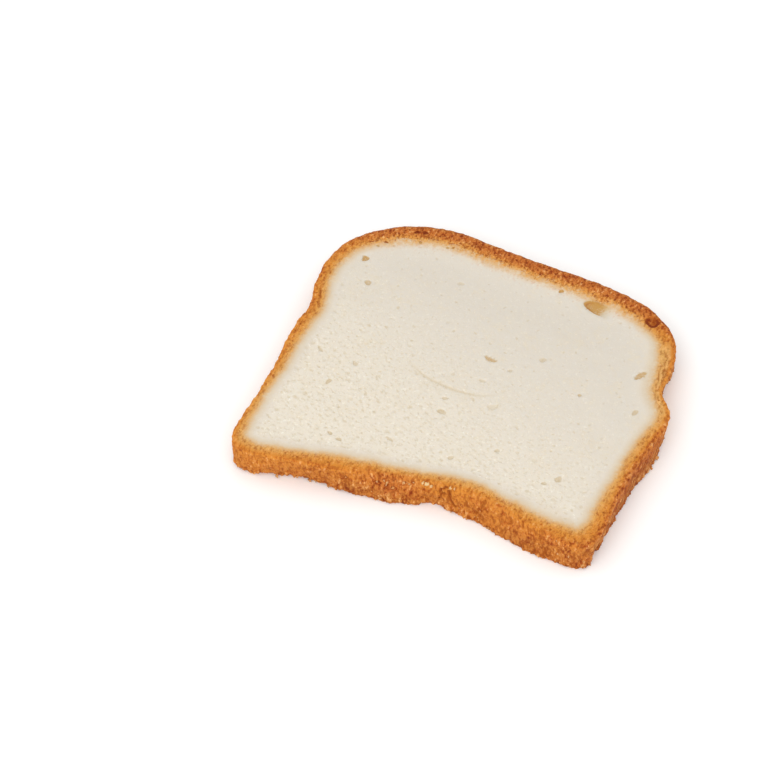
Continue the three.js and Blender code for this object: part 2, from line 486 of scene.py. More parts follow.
def scatterPits():
    rng = random.Random(pores["seed"])
    field = PitField()
    for one in (bigHole, blister):
        field.place(pit(**one), pores["bigHoleGap"])
    for x, y, length, width, turn, depth, brown in namedHoles:
        field.place(pit(x, y, length, width, turn, pores["holeDepth"] * depth, brown,
                        **pores["holeShape"]), pores["holeGap"])

    spots = strew(rng, pores["crumbTries"])
    nearest = around("reach", anglesOf(spots)) + pores["clearOfCrust"]
    wanted = len(field.pits) + pores["crumbCount"]
    for x, y in spots[inside(spots, coarseOutline) & (fromRing(spots, coarseOutline) > nearest)]:
        openHere = openness(x, y)
        scarce = pores["inCloseCrumb"]
        if rng.random() > scarce + (1 - scarce) * openHere or len(field.pits) >= wanted:
            continue
        length = between(pores["crumbLength"], rng.random() ** 2.2) * (0.7 + 0.4 * openHere)
        width = length * rng.uniform(*pores["crumbSlimness"])
        turn = (rng.gauss(pores["crumbTurn"], pores["turnSpread"]) if openHere > pores["turnedAlike"]
                else rng.uniform(-90, 90))
        field.place(pit(x, y, length, width, turn, length * rng.uniform(*pores["crumbDepth"]),
                        rng.uniform(*pores["crumbPoreShade"]), *poreGrid(length > pores["crumbRounded"])),
                    pores["crumbGap"])

    # Small burst bubbles in the crust, most of them along the top.
    wanted = len(field.pits) + pores["crustCount"]
    for _ in range(pores["crustTries"]):
        if len(field.pits) >= wanted:
            break
        k = rng.randrange(len(outline))
        bake, reach = around("rimBake", outlineAngles[k]), around("reach", outlineAngles[k])
        if rng.random() > 0.06 + bake ** 3:
            continue
        depthIn = rng.uniform(pores["fromEdge"], reach * pores["underTop" if bake > 0.7 else "underSides"])
        x, y = outline[k] - normals[k] * depthIn
        far = depthIn > reach * 0.8
        length = rng.uniform(*pores["crustLength"]) * (0.7 if far else 1.0)
        width = length * rng.uniform(*pores["crustSlimness"])
        field.place(pit(x, y, length, width, rng.uniform(-90, 90), length * rng.uniform(*pores["crustDepth"]),
                        rng.uniform(*pores["crustBrown"]) * (0.8 if far else 1.0),
                        *poreGrid(length > pores["crustRounded"])), pores["crustGap"])
    print("pits", len(field.pits))
    return field.pits


# Darker rings inside a pit: place between its middle and its rim, spread, strength. The faded pit's
# ring is painted shadow under its rim; the scorched pit's is its scorched crust.
holeShadowRing = (0.86, 0.14, 0.4)
scorchedRing = (0.68, 0.22, 0.85)


def ringed(ring, place, spread, strength):
    return strength * exp(-((ring - place) / spread) ** 2)


# How brown a point of a pit is. It browns with depth, and in the pores this is painted shade in the
# hollow. The floor takes its colour close to the rim, pales towards the shallow end of a faded pit, whose
# deep end has a painted shadow under its rim, and a scorched pit is darkest in a ring that is open on one
# side.
def pitTone(one, ring, share, u, turned):
    tone = min(1.0, 2.2 * share)
    patchy = 1.0 + 0.8 * noise.noise((2.2 * cos(turned), 2.2 * sin(turned), 3 * ring))
    if one.fade:
        # Painted shadow: a darker ring under the rim at the deep end.
        edge = ringed(ring, *holeShadowRing) * smooth(u / one.a, 0.0, -0.7)
        tone = min(1.0, 2.4 * share) * (0.6 + 0.4 * patchy) + edge
        tone *= smooth(u / one.a, 0.8, -0.2)
    if one.scorchedFrom is not None:
        away = cos(turned + one.turn - radians(one.scorchedFrom))
        tone = 0.22 + ringed(ring, *scorchedRing) * (0.5 - 0.5 * away) ** 0.5
        tone *= min(1.0, 2.5 * share) * patchy
    return tone * one.brown


# The points of one pit, each with its depth and brownness.
def pitPoints(one, rng):
    c, s = cos(one.turn), sin(one.turn)
    start = rng.uniform(0, tau)
    lobes = [(k, rng.uniform(0, tau), rng.uniform(0.3, 0.8)) for k in (1, 2, 3)]
    middle = 1.0 - 0.5 * one.fade
    points = [(one.x, one.y, one.depth * middle, pitTone(one, 0.0, 1.0, 0.0, 0.0))]
    for ring in one.rings:
        for k in range(one.sides):
            phi = start + tau * k / one.sides
            bump = 1 + one.wobble * sum(size * sin(n * phi + turn) for n, turn, size in lobes)
            u = one.a * ring * bump * cos(phi)
            v = one.b * ring * bump * sin(phi)
            share = (1.0 - ring ** one.steep) ** (1.0 / one.steep)
            deep = share * (1.0 - one.fade * (0.5 + 0.5 * u / one.a))
            points.append((one.x + u * c - v * s, one.y + u * s + v * c,
                           one.depth * deep, pitTone(one, ring, share, u, phi)))
    return points


# Points in staggered rows, each a little off its place so that no pattern shows.
def lattice(spacing, rng):
    rowStep, stray = 0.866, 0.22
    points = []
    for row in range(int(2 * halfHeight / (spacing * rowStep)) + 2):
        for column in range(int(2 * halfWidth / spacing) + 2):
            points.append((-halfWidth + (column + 0.5 * (row % 2) + rng.uniform(-stray, stray)) * spacing,
                           -halfHeight + (row * rowStep + rng.uniform(-stray, stray)) * spacing))
    return np.array(points)


# Close together in the crust, wider apart in the crumb.
def faceLattice(face, ring, rng):
    kept = []
    for spacing, nearest, furthest in ((face["rimSpacing"], face["margin"], face["rimZone"]),
                                       (face["innerSpacing"], face["rimZone"], farOff)):
        points = lattice(spacing, rng)
        points = points[inside(points, ring)]
        distance = fromRing(points, ring)
        kept.append(points[(distance > nearest) & (distance <= furthest)])
    return np.concatenate(kept)


def clearOfPits(points, pits, grow=0.17):
    keep = np.ones(len(points), bool)
    for one in pits:
        dx, dy = points[:, 0] - one.x, points[:, 1] - one.y
        c, s = cos(one.turn), sin(one.turn)
        u, v = dx * c + dy * s, dy * c - dx * s
        keep &= (u / (one.a * 1.1 + grow)) ** 2 + (v / (one.b * 1.1 + grow)) ** 2 > 1
    return points[keep]


# Each crack as a wandering line of points.
def crackLines():
    step, wander = 0.33, 0.22
    lines = []
    for seed, (knots, *_) in enumerate(cracks):
        knots = np.array(knots)
        lengths = lengthsAlong(knots)
        line = pointsAt(np.linspace(0, lengths[-1], max(4, int(lengths[-1] / step))), lengths, knots)
        for _ in range(8):
            line[1:-1] = (line[:-2] + 2 * line[1:-1] + line[2:]) / 4
        line += [(wander * noise.noise((x, y, seed)), wander * noise.noise((y, x, seed))) for x, y in line]
        lines.append(line)
    return lines


lines = crackLines()


def crackRelief(points):
    height, brown = np.zeros(len(points)), np.zeros(len(points))
    for line, (_, depth, spread, tint, lip) in zip(lines, cracks):
        close = np.where((np.abs(points - line.mean(0)) < np.ptp(line, axis=0) / 2 + 6.0).all(1))[0]
        gaps = np.linalg.norm(points[close, None, :] - line[None], axis=2)
        nearest = gaps.argmin(1)
        gap = gaps.min(1)
        ends = np.sin(np.pi * np.clip((nearest + 0.5) / len(line), 0, 1)) ** 0.6
        above = np.where(points[close, 1] > line[nearest, 1], 1.0, -0.4)
        groove = np.exp(-(gap / spread) ** 2)
        height[close] += ends * (lip * np.exp(-((gap - 1.1) / 0.9) ** 2) * above - depth * groove)
        # The groove's brown is painted shade in the crumb, browner crust in the crust's hairlines.
        brown[close] += ends * groove * tint
    return height, brown


# Height, grain and brownness of the crumb and rim, before its pores.
def frontRelief(points, distance):
    reach = reachAround(anglesOf(points))
    turns = turnsOf(anglesOf(points))
    top = spanned(turns, *cutFace["topSpan"])
    across = distance - cutFace["valleyFromCrust"]
    across = np.where(across < 0, across / cutFace["valleyOuter"], across / cutFace["valleyInner"])
    z = -cutFace["valleyDepth"] * np.exp(-across * across) * top
    z -= cutFace["sag"] * smooth(distance, *cutFace["sagOver"])
    z += cutFace["curl"] * np.exp(-distance / cutFace["curlWidth"]) * top
    z += [waves(x, y, 0, cutFace["swell"], 1.0) for x, y in points] * smooth(distance, 1.0, 6.0)
    grain = np.array([grains(x, y, 0, cutFace["rimGrain"], 9.0) for x, y in points])
    grain *= 1.0 - smooth(distance, reach * 0.6, reach * 1.1)
    cracked, brown = crackRelief(points)
    return z + grain + cracked, grain + cracked, brown


def backRelief(points, distance):
    lift = [abs(waves(x, y, 4.0, backFace["swell"], 6.0)) for x, y in points] * smooth(distance, 1.5, 9.0)
    return -lift, np.zeros(len(points)), np.zeros(len(points))


# One cut face: its boundary ring first, then the points inside it, joined by a Delaunay net.
# Every point has x, y, z, its distance from the edge, brownness, grain and 1 if it is on the crust wall.
def makeFace(face, ring, pits, relief, extra=()):
    rng = random.Random(face["seed"])
    edge = ring[:, :2]
    plain = [*clearOfPits(faceLattice(face, edge, rng), pits), *extra]
    net = [(x, y, 0.0, 0.0) for x, y in plain]
    for one in pits:
        net += pitPoints(one, rng)
    net = np.array(net)
    distance = fromRing(net[:, :2], edge)
    keep = (distance > face["margin"] * 0.9) & inside(net[:, :2], edge)
    net, distance = net[keep], distance[keep]
    flat = [Vector(p) for p in np.concatenate([edge, net[:, :2]])]
    faces = delaunay_2d_cdt(flat, [], [list(range(len(ring)))], 1, 1e-7)[2]
    height, grain, mark = relief(net[:, :2], distance)
    own = np.stack([net[:, 0], net[:, 1], height - net[:, 2], distance, np.maximum(net[:, 3], mark), grain,
                    np.zeros(len(net))], axis=1)
    return np.concatenate([ring, own]), faces


# Down the crust: round at the top edge, upright, and round at the lower edge.
def wallSection(upper, lower):
    straight = thickness - upper - lower
    upperArc = upper * pi / 2
    along = np.linspace(0.0, upperArc + straight + lower * pi / 2, crustWall["rows"] + 1)
    turned = np.clip(along / upper, 0.0, pi / 2)
    tucked = np.clip((along - upperArc - straight) / lower, 0.0, pi / 2)
    drawnIn = upper * (1 - np.sin(turned)) + lower * (1 - np.cos(tucked))
    height = thickness - upper * (1 - np.cos(turned)) - np.clip(along - upperArc, 0.0, straight)
    return zip(drawnIn, height - lower * np.sin(tucked), turned + tucked)


# How far the crust stands out at a place of the wall. base and top say how much it belongs to each.
def wallGrain(x, y, z, base, top):
    tall = z * crustWall["upright"]
    grain = waves(x, y, tall, crustWall["lumps"], 2.0) * (1.0 - crustWall["calmTop"] * top)
    side = 1.0 - max(base, top)
    for share, name, seed in ((base, "baseGrain", 2.0), (side, "sideGrain", 3.0), (top, "topGrain", 5.0)):
        if share > 0.01:
            grain += share * grains(x, y, tall, crustWall[name], seed)
    grain -= (0.5 + 0.5 * base) * hollows(x, y, tall, 7.0)
    low = 1.0 - smooth(z, 0.6, crustWall["raggedBelow"])
    return grain + low * waves(x, y, z, crustWall["ragged"], 11.0)


def cleftDepth(x, y, z):
    zone, waver = 5.0, 0.5
    total = 0.0
    for cx, cy, width, depth, drift in clefts:
        if abs(x - cx) + abs(y - cy) > zone:
            continue
        down = 1.0 - z / thickness
        wander = drift * down + waver * noise.noise((cx, cy, z * 0.5))
        off = hypot(x - cx, y - cy) * copysign(1.0, (x - cx) + (y - cy)) - wander
        total += depth * exp(-(off / width) ** 2) * sin(pi * min(1.0, z / thickness + 0.15)) ** 0.5
    return total


# The depth and brownness that the furrows give a place of the base crust.
def furrowAt(x, z):
    zone, waver = 6.0, 0.38
    depth, brown = 0.0, 0.0
    for line, width, deep, tint in furrows:
        if abs(x - line[0][0]) > zone:
            continue
        nearest = farOff
        for (ax, az), (bx, bz) in zip(line, line[1:]):
            dx, dz = bx - ax, bz - az
            t = min(1.0, max(0.0, ((x - ax) * dx + (z - az) * dz) / (dx * dx + dz * dz)))
            nearest = min(nearest, hypot(x - ax - t * dx, z - az - t * dz))
        nearest += waver * noise.noise((x * 1.3, z * 1.3, width * 20))
        share = exp(-(nearest / (0.85 * width)) ** 2)
        depth = max(depth, deep * share)
        brown = max(brown, tint * share)
    return depth, brown


def scorchAt(x, y, z):
    place = Vector((x, y, z))
    patchy = 1.0 + 0.9 * noise.noise(place * 0.9)
    return max(brown * patchy * exp(-((place - Vector(centre)).length / size) ** 2)
               for *centre, size, brown in scorches)


def notchAt(x, y, z):
    along = (notch["start"] - y) / notch["length"]
    if x < 0.0 or z > notch["height"] or not -0.1 < along < 1.0:
        return 0.0
    fading = smooth(z, notch["height"], 0.4 * notch["height"])
    return notch["depth"] * smooth(along, -0.06, 0.04) * (1.0 - along) * fading


# Rows of points around the slice, from the ring of the front face to that of the back face.
def makeWall():
    wall = np.zeros((crustWall["rows"] + 1, len(outline), 7))
    turns = turnsOf(outlineAngles)
    bases = spanned(turns, *crustWall["baseSpan"])
    tops = smooth(around("wallBakeAndShade", outlineAngles), *crustWall["topBake"]) * (turns < 180)
    worn = around("worn", outlineAngles)
    for i, ((x, y), n) in enumerate(zip(outline, normals)):
        lower = worn[i] * (1.0 + crustWall["lowerUneven"] * noise.noise((x * 0.3, y * 0.3, 8)))
        uneven = 1.0 + crustWall["upperUneven"] * noise.noise((x * 0.5, y * 0.5, 5))
        for j, (drawnIn, z, phi) in enumerate(wallSection(crustWall["upperRound"] * uneven, lower)):
            away = lean[i] * (1 - z / thickness) - drawnIn
            px, py = x + n[0] * away, y + n[1] * away
            push = wallGrain(px, py, z, bases[i], tops[i]) - cleftDepth(px, py, z)
            if bases[i] > 0.5:
                deep, stain = furrowAt(x, z)
                push -= deep
            else:
                stain = scorchAt(px, py, z)
            out = push * sin(phi) - notchAt(px, py, z)
            up = push * cos(phi) * smooth(z, 0.0, 0.5)
            wall[j, i] = (px + n[0] * out, py + n[1] * out, max(z + up, 0.0), 0.0, stain, push, 1.0)
    wall[-1, :, 2] = 0.0
    return wall


# One number on each point of a mesh, for its material or its node tree to read.
def setValues(mesh, **values):
    for name, each in values.items():
        mesh.attributes.new(name, "FLOAT", "POINT").data.foreach_set("value", np.asarray(each, np.float32))


# The pores of the hidden side, spread evenly.
def scatterBackPits(ring):
    rng = random.Random(pores["seed"] + 1)
    field = PitField()
    spots = strew(rng, backFace["poreTries"])
    for x, y in spots[inside(spots, ring) & (fromRing(spots, ring) > backFace["clearOfCrust"])]:
        if len(field.pits) >= backFace["poreCount"]:
            break
        length = rng.uniform(*backFace["poreLength"])
        width = length * rng.uniform(*backFace["poreSlimness"])
        field.place(pit(x, y, length, width, rng.uniform(-90, 90), length * backFace["poreDepth"],
                        rng.uniform(*backFace["backPoreShade"])), backFace["poreGap"])
    return field.pits


def makeSliceMesh():
    wall = makeWall()
    rows, columns = wall.shape[:2]
    print("crust wall", rows * columns, "points")
    crackSides = []
    for line, (_, _, spread, _, _) in zip(lines, cracks):
        across = outward(line)
        for side in (-1.0, 0.0, 1.0):
            crackSides += [tuple(p) for p in line[1:-1] + side * spread * across[1:-1]]
    backPits = scatterBackPits(wall[-1, ::5, :2])
    front, frontFaces = makeFace(cutFace, wall[0], scatterPits(), frontRelief, crackSides)
    back, backFaces = makeFace(backFace, wall[-1], backPits, backRelief)

    # The wall's first row is the front's ring, and its last is the back's.
    front[columns:, 2] += thickness
    back[:, 2] *= -1
    everything = np.concatenate([front, wall[1:].reshape(-1, 7), back[columns:]])
    wallIndex = np.vstack([np.arange(columns),
                           len(front) + np.arange((rows - 1) * columns).reshape(rows - 1, columns)])
    backIndex = np.concatenate([wallIndex[-1], np.arange(len(everything) - len(back) + columns,
                                                         len(everything))])
    along = np.roll(wallIndex, -1, axis=1)
    quads = np.stack([wallIndex[:-1], wallIndex[1:], along[1:], along[:-1]], axis=-1).reshape(-1, 4)
    turnedOver = backIndex[np.array(backFaces)[:, [0, 2, 1]]]
    faces = frontFaces + quads.tolist() + turnedOver.tolist()

    height, distance, onWall = everything[:, 2], everything[:, 3], everything[:, 6]
    angles = anglesOf(everything)
    crustIn = distance - reachAround(angles)
    crustIn = np.where(crustIn > 0, crustIn / around("fade", angles), crustIn)
    # Painted shade: the crust wall is coloured darker towards the floor.
    crustIn -= onWall * crustWall["deeper"] * (thickness - height)
    onRim = smooth(height - thickness, *crustWall["rimFade"]) * smooth(distance, *crustWall["rimStart"])
    mesh = bpy.data.meshes.new("breadSlice")
    mesh.from_pydata((everything[:, :3] * mm).tolist(), [], faces)
    # The wall's darker bake on the right side is partly painted shade.
    setValues(mesh, crustIn=crustIn, brown=everything[:, 4], grain=everything[:, 5],
              bake=onRim * around("rimBake", angles) + (1.0 - onRim) * around("wallBakeAndShade", angles),
              open=[openness(x, y) for x, y in everything[:, :2]])
    mesh.polygons.foreach_set("use_smooth", np.ones(len(mesh.polygons), bool))
    layPaintMap(mesh, len(frontFaces), rows, columns)
    mesh.update()
    print("slice", len(everything), "points", sum(len(p.vertices) - 2 for p in mesh.polygons), "triangles")
    return mesh, wall[..., :3]


paintMap = {
    "front": (0.01, 0.375, 0.00583),      # left, bottom and share of the map per millimetre
    "back": (0.01, 0.01, 0.0033),
    "strips": (0.715, 0.812, 0.909),      # left edges of the wall's three strips
    "stripWidth": 0.08,
    "stripBottom": 0.02,
    "stripLength": 0.96,
}


# A flat map of the whole skin: both cut faces seen square on, and the crust in three strips.
def layPaintMap(mesh, frontCount, rows, columns):
    layer = mesh.uv_layers.new(name="OFBake")
    corner = np.zeros(len(mesh.loops), int)
    mesh.loops.foreach_get("vertex_index", corner)
    places = np.zeros(len(mesh.vertices) * 3)
    mesh.vertices.foreach_get("co", places)
    places = places.reshape(-1, 3)[corner] / mm
    uv = np.zeros((len(corner), 2))
    frontLoops = frontCount * 3
    wallLoops = (rows - 1) * columns * 4
    for name, part in (("front", slice(0, frontLoops)), ("back", slice(frontLoops + wallLoops, None))):
        left, bottom, scale = paintMap[name]
        uv[part, 0] = left + (places[part, 0] + halfWidth + 1) * scale
        uv[part, 1] = bottom + (places[part, 1] + halfHeight + 1) * scale
    third = -(-columns // 3)
    wall = np.arange(wallLoops // 4)
    row, column = wall // columns, wall % columns
    strip = column // third
    for k, (dr, dc) in enumerate(((0, 0), (1, 0), (1, 1), (0, 1))):
        at = frontLoops + wall * 4 + k
        uv[at, 0] = np.array(paintMap["strips"])[strip] + paintMap["stripWidth"] * (row + dr) / (rows - 1)
        uv[at, 1] = paintMap["stripBottom"] + paintMap["stripLength"] * (column - strip * third + dc) / third
    layer.data.foreach_set("uv", uv.reshape(-1).astype(np.float32))


def show(name, data):
    made = bpy.data.objects.new(name, data)
    bpy.context.scene.collection.objects.link(made)
    return made


sliceMesh, wallPoints = makeSliceMesh()
breadSlice = show("breadSlice", sliceMesh)


def srgb(r, g, b):
    def linear(c):
        c /= 255.0
        return c / 12.92 if c <= 0.04045 else ((c + 0.055) / 1.055) ** 2.4
    return (linear(r), linear(g), linear(b), 1.0)


breadLook = {
    "crumbPale": srgb(233, 228, 216),
    "crumbWarm": srgb(213, 198, 170),
    # painted shade: the close crumb, towards the top and the right, is coloured darker
    "closedCrumbShade": srgb(209, 201, 188),
    # the tan of the streaks and of the pores is painted shade in their hollows
    "streak": srgb(203, 188, 158),
    "poreShadeTan": srgb(190, 168, 124),
    "holeInside": srgb(184, 138, 66),
    # Millimetres inwards from where crust and crumb meet; the crust wall lies far on the minus side.
    "lightBake": ((-8.8, (193, 116, 45)), (-4.0, (206, 131, 48)), (-2.5, (210, 139, 56)),
                  (-1.2, (209, 154, 84)), (-0.2, (206, 173, 130)), (1.0, (207, 192, 169)),
                  (2.5, (213, 203, 188)), (5.0, (219, 210, 194))),
    "darkBake": ((-8.8, (168, 86, 28)), (-6.4, (188, 120, 56)), (-5.2, (188, 105, 42)),
                 (-2.8, (197, 119, 52)), (-1.7, (213, 146, 68)), (-0.6, (211, 158, 92)),
                 (0.6, (208, 174, 132)), (2.4, (212, 196, 175)), (5.0, (219, 210, 194))),
    "golden": srgb(211, 163, 96),
    "speck": srgb(124, 46, 11),
    "paleSpeck": srgb(196, 138, 96),
    "cleft": srgb(158, 80, 12),
    # the clefts' darker colour is partly painted shade
    "cleftShade": (0.60, 0.42, 0.26, 1.0),      # what a cleft leaves of the colour around it
    "scorchShade": (0.64, 0.36, 0.18, 1.0),
    # the grains' lighter tops are partly painted highlight
    "toasted": srgb(238, 184, 118),
    "roughness": 0.86,
    "gloss": 0.2,
    "softness": 0.3,            # how much light goes under the surface
    "softReach": (1.0, 0.85, 0.65),
    # Sizes in millimetres of the patterns that break up the colours, and how each is stretched.
    "broad": {"size": 6.0},
    "medium": {"size": 1.3, "detail": 4.0},
    "fine": {"size": 0.5},
    "upright": {"size": 0.8, "stretch": (1.0, 2.1, 2.1)},      # short strands up the crust
    "strands": {"size": 0.6, "stretch": (1.0, 3.3, 1.0), "turn": 12.0},
    "winding": {"size": 1.8, "stretch": (1.0, 1.7, 1.7)},
    "streaks": {"size": 0.85, "stretch": (1.6, 1.0, 1.0), "turn": pores["crumbTurn"]},
    "sponge": {"size": 0.7, "detail": 4.0, "rough": 0.65},
    "dots": 1.1,
    "sand": 0.45,
    # Heights in millimetres of the texture that is too fine for the mesh.
    "spongeHeight": 0.08,
    "sandHeight": 0.27,
    "streakDepth": 0.18,
    "bump": 0.8,
}


# Short ways to add nodes to one tree. An input is given a value or another node's output.
class Nodes:
    def __init__(self, tree):
        self.tree = tree

    def put(self, socket, value):
        if hasattr(value, "links"):
            self.tree.links.new(value, socket)
        else:
            socket.default_value = value

    def add(self, kind, inputs=None, **settings):
        made = self.tree.nodes.new(kind)
        for name, value in settings.items():
            setattr(made, name, value)
        for name, value in (inputs or {}).items():
            self.put(made.inputs[name], value)
        return made

    def maths(self, operation, *values, clamp=False):
        made = self.add("ShaderNodeMath", dict(enumerate(values)), operation=operation, use_clamp=clamp)
        return made.outputs[0]

    def times(self, a, b):
        return self.maths("MULTIPLY", a, b)

    def fused(self, a, b, c, clamp=False):      # a times b plus c
        return self.maths("MULTIPLY_ADD", a, b, c, clamp=clamp)

    def mixed(self, factor, a, b, blend="MIX"):
        made = self.add("ShaderNodeMix", {0: factor, 6: a, 7: b}, data_type="RGBA", blend_type=blend)
        return made.outputs[2]

    def stepped(self, value, low, high):        # 0 at low, 1 at high
        made = self.add("ShaderNodeMapRange", {"Value": value, "From Min": low, "From Max": high},
                        interpolation_type="SMOOTHSTEP")
        return made.outputs["Result"]

    def ramp(self, stops, value):
        first, last = stops[0][0], stops[-1][0]
        share = self.maths("DIVIDE", self.maths("SUBTRACT", value, first), last - first)
        made = self.add("ShaderNodeValToRGB", {"Fac": share})
        elements = made.color_ramp.elements
        while len(elements) < len(stops):
            elements.new(0.5)
        for element, (place, colour) in zip(elements, stops):
            element.position = (place - first) / (last - first)
            element.color = srgb(*colour)
        return made.outputs["Color"]


# The textures of one material are all laid out in the object's own space.
class Textures(Nodes):
    def __init__(self, tree):
        super().__init__(tree)
        self.where = self.add("ShaderNodeTexCoord").outputs["Object"]

    def attribute(self, name):
        return self.add("ShaderNodeAttribute", attribute_name=name).outputs["Fac"]

    def noise(self, size, detail=3.0, rough=0.6, stretch=(1.0, 1.0, 1.0), turn=0.0):
        mapped = self.add("ShaderNodeMapping", {"Vector": self.where, "Scale": stretch,
                                                "Rotation": (0.0, 0.0, radians(turn))}, vector_type="TEXTURE")
        made = self.add("ShaderNodeTexNoise", {"Vector": mapped.outputs[0], "Scale": 1.0 / (size * mm),
                                               "Detail": detail, "Roughness": rough})
        return self.maths("SUBTRACT", made.outputs["Fac"], 0.5)

    def cells(self, size):
        made = self.add("ShaderNodeTexVoronoi", {"Vector": self.where, "Scale": 1.0 / (size * mm)})
        return made.outputs["Distance"]


def newMaterial(name):
    material = bpy.data.materials.new(name)
    material.use_nodes = True
    return material, material.node_tree, material.node_tree.nodes["Principled BSDF"].inputs


def makeBread():
    material, tree, shader = newMaterial("bakedBread")
    look = Textures(tree)
    maths, times, fused, mixed, stepped = look.maths, look.times, look.fused, look.mixed, look.stepped
    crustIn, bake, brown, grain, openHere = map(look.attribute, ("crustIn", "bake", "brown", "grain", "open"))
    broad, medium, fine, upright, strands, winding, streak, sponge = (
        look.noise(**breadLook[name]) for name in
        ("broad", "medium", "fine", "upright", "strands", "winding", "streaks", "sponge"))

    # How deep in the crust a point lies. The edge of the browning is broken up, most under the top crust.
    breakup = fused(stepped(bake, 0.55, 0.95), 2.6, 1.0)
    reach = fused(fused(fine, 0.8, fused(medium, 1.2, broad)), breakup, crustIn)
    toned = maths("ADD", broad, bake)
    colour = mixed(stepped(toned, 0.25, 1.0), look.ramp(breadLook["lightBake"], reach),
                   look.ramp(breadLook["darkBake"], reach))

    def tint(share, name, blend="MIX"):
        nonlocal colour
        colour = mixed(share, colour, breadLook[name], blend)

    inCrust = stepped(reach, 0.4, -1.6)
    golden = times(stepped(fused(broad, 0.4, bake), 0.36, -0.22), 0.8)
    tint(times(golden, inCrust), "golden")
    inCrumb = stepped(crustIn, 1.0, 4.0)
    # Painted shade: the crumb is coloured darker where it is close, towards the top and the right.
    closedShadeMask = times(maths("SUBTRACT", 1.0, openHere), inCrumb)
    tint(closedShadeMask, "closedCrumbShade")

    # Clefts between the grains are darker and their tops lighter: partly the crust's own mottling, partly
    # painted shade in the clefts and painted highlight on the tops. They wind about in short marks.
    rough = fused(fine, 0.4, fused(upright, 1.5, times(grain, 0.6)))
    rough = fused(times(strands, stepped(bake, 0.2, -0.05)), 2.0, rough)
    low = times(stepped(rough, -0.03, -0.3), inCrust)
    marked = times(stepped(maths("ABSOLUTE", winding), 0.08, 0.015), stepped(medium, -0.05, 0.1))
    marked = times(marked, inCrust)
    baked = fused(stepped(toned, 0.4, 0.9), 0.42, 0.6)
    baked = fused(stepped(crustIn, -3.0, -6.0), 0.18, baked, clamp=True)
    tint(times(low, baked), "cleftShade", "MULTIPLY")
    tint(times(marked, baked), "scorchShade", "MULTIPLY")
    high = times(stepped(rough, 0.05, 0.32), inCrust)
    tint(times(high, times(baked, 0.7)), "toasted")

    # Brown mottles in the dark top crust, and paler dots beyond its edge.
    dots = times(stepped(look.cells(breadLook["dots"]), 0.5, 0.2), stepped(medium, -0.08, 0.05))
    beyond = times(stepped(crustIn, 6.0, 0.5), 0.5)
    dots = times(dots, times(maths("MAXIMUM", inCrust, beyond), stepped(toned, 0.45, 0.95)))
    colour = mixed(times(dots, 0.8), colour, mixed(inCrust, breadLook["paleSpeck"], breadLook["speck"]))

    # The crumb: cloudy warm and pale patches, short tan streaks where it is open, and tan pores. The tan of
    # the streaks, which are sunk a little, and of the pores is painted shade in their hollows.
    crumbShare = maths("SUBTRACT", 1.0, inCrust)
    warm = times(stepped(maths("ADD", broad, medium), 0.0, 0.35), crumbShare)
    tint(times(warm, 0.4), "crumbWarm")
    pale = times(stepped(maths("ADD", fine, medium), 0.04, 0.36), crumbShare)
    pale = times(pale, times(inCrumb, fused(openHere, 0.6, 0.3)))
    tint(pale, "crumbPale")
    streak = times(times(stepped(streak, 0.0, 0.25), inCrumb), fused(openHere, 0.62, 0.1))
    tint(streak, "streak")
    stained = times(brown, fused(fine, 1.6, 1.0))
    poreTint = mixed(stepped(brown, 0.35, 0.9), breadLook["poreShadeTan"], breadLook["holeInside"])
    poreTint = mixed(stepped(brown, 1.0, 1.6), poreTint, breadLook["cleft"])
    burnt = maths("MAXIMUM", inCrust, stepped(crustIn, 0.6, -0.6))
    scorched = mixed(stepped(brown, 0.3, 1.1), breadLook["cleft"], breadLook["speck"])
    poreTint = mixed(burnt, poreTint, scorched)
    colour = mixed(maths("MINIMUM", maths("MAXIMUM", stained, 0.0), 0.92), colour, poreTint)

    # Texture too fine for the mesh: spongy crumb, sandy crust.
    sand = times(fused(look.cells(breadLook["sand"]), 0.6, upright), inCrust)
    sand = fused(low, -0.3, sand)
    height = fused(times(sponge, crumbShare), breadLook["spongeHeight"], times(sand, breadLook["sandHeight"]))
    height = fused(streak, -breadLook["streakDepth"], height)
    bump = look.add("ShaderNodeBump", {"Strength": breadLook["bump"], "Distance": mm, "Height": height})
    for name, value in {"Base Color": colour, "Normal": bump.outputs[0],
                        "Roughness": fused(fine, 0.25, breadLook["roughness"], clamp=True),
                        "Specular IOR Level": breadLook["gloss"], "Subsurface Weight": breadLook["softness"],
                        "Subsurface Radius": breadLook["softReach"], "Subsurface Scale": 1.0 * mm}.items():
        look.put(shader[name], value)
    return material


breadSlice.data.materials.append(makeBread())

